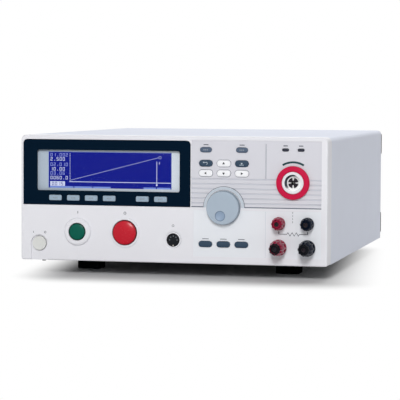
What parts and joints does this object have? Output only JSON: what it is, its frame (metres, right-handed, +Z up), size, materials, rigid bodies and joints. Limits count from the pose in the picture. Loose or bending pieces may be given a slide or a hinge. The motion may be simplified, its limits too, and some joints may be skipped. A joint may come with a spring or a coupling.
{
  "type": "hipot tester",
  "caption": "Bench high-voltage withstand tester with a display, keypad, jog wheel, start and stop buttons, high-voltage socket and binding posts.",
  "frame": {"origin": "on the table under the middle of the whole tester, posts and bumpers included", "axes": "+X to the user's right, +Y from the front panel to the rear, +Z up; the front panel faces -Y"},
  "size_m": [0.33, 0.452, 0.148],
  "materials": {
    "aluminium": "extruded, natural",
    "black": "satin",
    "board": "solder mask",
    "brass": "turned, nickel plated",
    "clear": "clear",
    "cover_paint": "fine powder coat",
    "cream": "satin",
    "dark_key": "satin silicone",
    "green": "glossy",
    "hv_red": "satin",
    "knob": "fine texture",
    "lcd": "dark blue glass in a grey frame",
    "navy": "smooth satin",
    "panel_grey": "fine moulded texture",
    "red": "glossy",
    "rubber": "matt",
    "soft_key": "satin",
    "steel": "zinc plated sheet",
    "white_insulator": "satin",
    "white_key": "satin silicone"
  },
  "bodies": {
    "case": {"amplifier_heatsink": "aluminium", "chassis": "steel", "display_bezel": "navy", "display_window": "clear", "fan_frame": "black", "foot_front_left": "rubber", "foot_front_right": "rubber", "foot_rear_left": "rubber", "foot_rear_right": "rubber", "front_panel": "panel_grey", "hv_ring": "hv_red", "hv_socket": "white_insulator", "hv_transformer": "steel", "interface_plate": "steel", "key_board": "board", "lamp_light_pipe": "clear", "lcd_module": "lcd", "main_board": "board", "mains_inlet": "black", "rear_bumper_lower_left": "rubber", "rear_bumper_lower_right": "rubber", "rear_bumper_upper_left": "rubber", "rear_bumper_upper_right": "rubber", "rear_panel": "steel", "remote_socket": "black", "sense_high_base": "red", "sense_low_base": "black", "source_high_base": "red", "source_low_base": "black", "top_cover": "cover_paint"},
    "soft_key_1": {"soft_key_1": "soft_key"},
    "soft_key_2": {"soft_key_2": "soft_key"},
    "soft_key_3": {"soft_key_3": "soft_key"},
    "soft_key_4": {"soft_key_4": "soft_key"},
    "soft_key_5": {"soft_key_5": "soft_key"},
    "soft_key_6": {"soft_key_6": "soft_key"},
    "page_key": {"page_key": "dark_key"},
    "function_key": {"function_key": "dark_key"},
    "back_key": {"back_key": "dark_key"},
    "up_key": {"up_key": "white_key"},
    "store_key": {"store_key": "dark_key"},
    "left_key": {"left_key": "white_key"},
    "down_key": {"down_key": "white_key"},
    "right_key": {"right_key": "white_key"},
    "manual_key": {"manual_key": "dark_key"},
    "automatic_key": {"automatic_key": "dark_key"},
    "utility_key": {"utility_key": "dark_key"},
    "jog_wheel": {"jog_wheel": "knob"},
    "start_button": {"start_button": "green"},
    "stop_button": {"stop_button": "red"},
    "power_button": {"power_button": "cream"},
    "fan_rotor": {"fan_rotor": "black"},
    "sense_high_insert": {"sense_high_insert": "brass"},
    "sense_high_cap": {"sense_high_cap": "red"},
    "sense_low_insert": {"sense_low_insert": "brass"},
    "sense_low_cap": {"sense_low_cap": "black"},
    "source_high_insert": {"source_high_insert": "brass"},
    "source_high_cap": {"source_high_cap": "red"},
    "source_low_insert": {"source_low_insert": "brass"},
    "source_low_cap": {"source_low_cap": "black"}
  },
  "joints": [
    {"name": "soft_key_1_press", "type": "slide", "parent": "case", "child": "soft_key_1", "axis": [0, 1, 0], "range_m": [0, 0.0008], "stiffness_N_per_m": 300, "springref_m": -0.0005},
    {"name": "soft_key_2_press", "type": "slide", "parent": "case", "child": "soft_key_2", "axis": [0, 1, 0], "range_m": [0, 0.0008], "stiffness_N_per_m": 300, "springref_m": -0.0005},
    {"name": "soft_key_3_press", "type": "slide", "parent": "case", "child": "soft_key_3", "axis": [0, 1, 0], "range_m": [0, 0.0008], "stiffness_N_per_m": 300, "springref_m": -0.0005},
    {"name": "soft_key_4_press", "type": "slide", "parent": "case", "child": "soft_key_4", "axis": [0, 1, 0], "range_m": [0, 0.0008], "stiffness_N_per_m": 300, "springref_m": -0.0005},
    {"name": "soft_key_5_press", "type": "slide", "parent": "case", "child": "soft_key_5", "axis": [0, 1, 0], "range_m": [0, 0.0008], "stiffness_N_per_m": 300, "springref_m": -0.0005},
    {"name": "soft_key_6_press", "type": "slide", "parent": "case", "child": "soft_key_6", "axis": [0, 1, 0], "range_m": [0, 0.0008], "stiffness_N_per_m": 300, "springref_m": -0.0005},
    {"name": "page_key_press", "type": "slide", "parent": "case", "child": "page_key", "axis": [0, 1, 0], "range_m": [0, 0.0008], "stiffness_N_per_m": 300, "springref_m": -0.0005},
    {"name": "function_key_press", "type": "slide", "parent": "case", "child": "function_key", "axis": [0, 1, 0], "range_m": [0, 0.0008], "stiffness_N_per_m": 300, "springref_m": -0.0005},
    {"name": "back_key_press", "type": "slide", "parent": "case", "child": "back_key", "axis": [0, 1, 0], "range_m": [0, 0.0008], "stiffness_N_per_m": 300, "springref_m": -0.0005},
    {"name": "up_key_press", "type": "slide", "parent": "case", "child": "up_key", "axis": [0, 1, 0], "range_m": [0, 0.0008], "stiffness_N_per_m": 300, "springref_m": -0.0005},
    {"name": "store_key_press", "type": "slide", "parent": "case", "child": "store_key", "axis": [0, 1, 0], "range_m": [0, 0.0008], "stiffness_N_per_m": 300, "springref_m": -0.0005},
    {"name": "left_key_press", "type": "slide", "parent": "case", "child": "left_key", "axis": [0, 1, 0], "range_m": [0, 0.0008], "stiffness_N_per_m": 300, "springref_m": -0.0005},
    {"name": "down_key_press", "type": "slide", "parent": "case", "child": "down_key", "axis": [0, 1, 0], "range_m": [0, 0.0008], "stiffness_N_per_m": 300, "springref_m": -0.0005},
    {"name": "right_key_press", "type": "slide", "parent": "case", "child": "right_key", "axis": [0, 1, 0], "range_m": [0, 0.0008], "stiffness_N_per_m": 300, "springref_m": -0.0005},
    {"name": "manual_key_press", "type": "slide", "parent": "case", "child": "manual_key", "axis": [0, 1, 0], "range_m": [0, 0.0008], "stiffness_N_per_m": 300, "springref_m": -0.0005},
    {"name": "automatic_key_press", "type": "slide", "parent": "case", "child": "automatic_key", "axis": [0, 1, 0], "range_m": [0, 0.0008], "stiffness_N_per_m": 300, "springref_m": -0.0005},
    {"name": "utility_key_press", "type": "slide", "parent": "case", "child": "utility_key", "axis": [0, 1, 0], "range_m": [0, 0.0008], "stiffness_N_per_m": 300, "springref_m": -0.0005},
    {"name": "start_button_press", "type": "slide", "parent": "case", "child": "start_button", "axis": [0, 1, 0], "range_m": [0, 0.0025], "stiffness_N_per_m": 600, "springref_m": -0.0005},
    {"name": "stop_button_press", "type": "slide", "parent": "case", "child": "stop_button", "axis": [0, 1, 0], "range_m": [0, 0.0025], "stiffness_N_per_m": 600, "springref_m": -0.0005},
    {"name": "power_button_press", "type": "slide", "parent": "case", "child": "power_button", "axis": [0, 1, 0], "range_m": [0, 0.003], "stiffness_N_per_m": 900, "springref_m": -0.0005},
    {"name": "jog_wheel_turn", "type": "hinge", "parent": "case", "child": "jog_wheel", "pos_m": [0.0559, -0.201, 0.0742], "axis": [0, -1, 0], "continuous": true},
    {"name": "fan_spin", "type": "hinge", "parent": "case", "child": "fan_rotor", "pos_m": [-0.103, 0.2, 0.082], "axis": [0, 1, 0], "continuous": true},
    {"name": "sense_high_insert_slide", "type": "slide", "parent": "case", "child": "sense_high_insert", "axis": [0, -1, 0], "range_m": [0, 0.004]},
    {"name": "sense_high_cap_turn", "type": "hinge", "parent": "sense_high_insert", "child": "sense_high_cap", "pos_m": [0.1142, -0.201, 0.0588], "axis": [0, -1, 0], "range_deg": [0, 1440]},
    {"name": "sense_low_insert_slide", "type": "slide", "parent": "case", "child": "sense_low_insert", "axis": [0, -1, 0], "range_m": [0, 0.004]},
    {"name": "sense_low_cap_turn", "type": "hinge", "parent": "sense_low_insert", "child": "sense_low_cap", "pos_m": [0.1443, -0.201, 0.0588], "axis": [0, -1, 0], "range_deg": [0, 1440]},
    {"name": "source_high_insert_slide", "type": "slide", "parent": "case", "child": "source_high_insert", "axis": [0, -1, 0], "range_m": [0, 0.004]},
    {"name": "source_high_cap_turn", "type": "hinge", "parent": "source_high_insert", "child": "source_high_cap", "pos_m": [0.1142, -0.201, 0.0339], "axis": [0, -1, 0], "range_deg": [0, 1440]},
    {"name": "source_low_insert_slide", "type": "slide", "parent": "case", "child": "source_low_insert", "axis": [0, -1, 0], "range_m": [0, 0.004]},
    {"name": "source_low_cap_turn", "type": "hinge", "parent": "source_low_insert", "child": "source_low_cap", "pos_m": [0.1443, -0.201, 0.0339], "axis": [0, -1, 0], "range_deg": [0, 1440]}
  ],
  "couplings": [
    {"joint": "sense_high_cap_turn", "follows": "sense_high_insert_slide", "rad_per_m": 6283.2},
    {"joint": "sense_low_cap_turn", "follows": "sense_low_insert_slide", "rad_per_m": 6283.2},
    {"joint": "source_high_cap_turn", "follows": "source_high_insert_slide", "rad_per_m": 6283.2},
    {"joint": "source_low_cap_turn", "follows": "source_low_insert_slide", "rad_per_m": 6283.2}
  ]
}
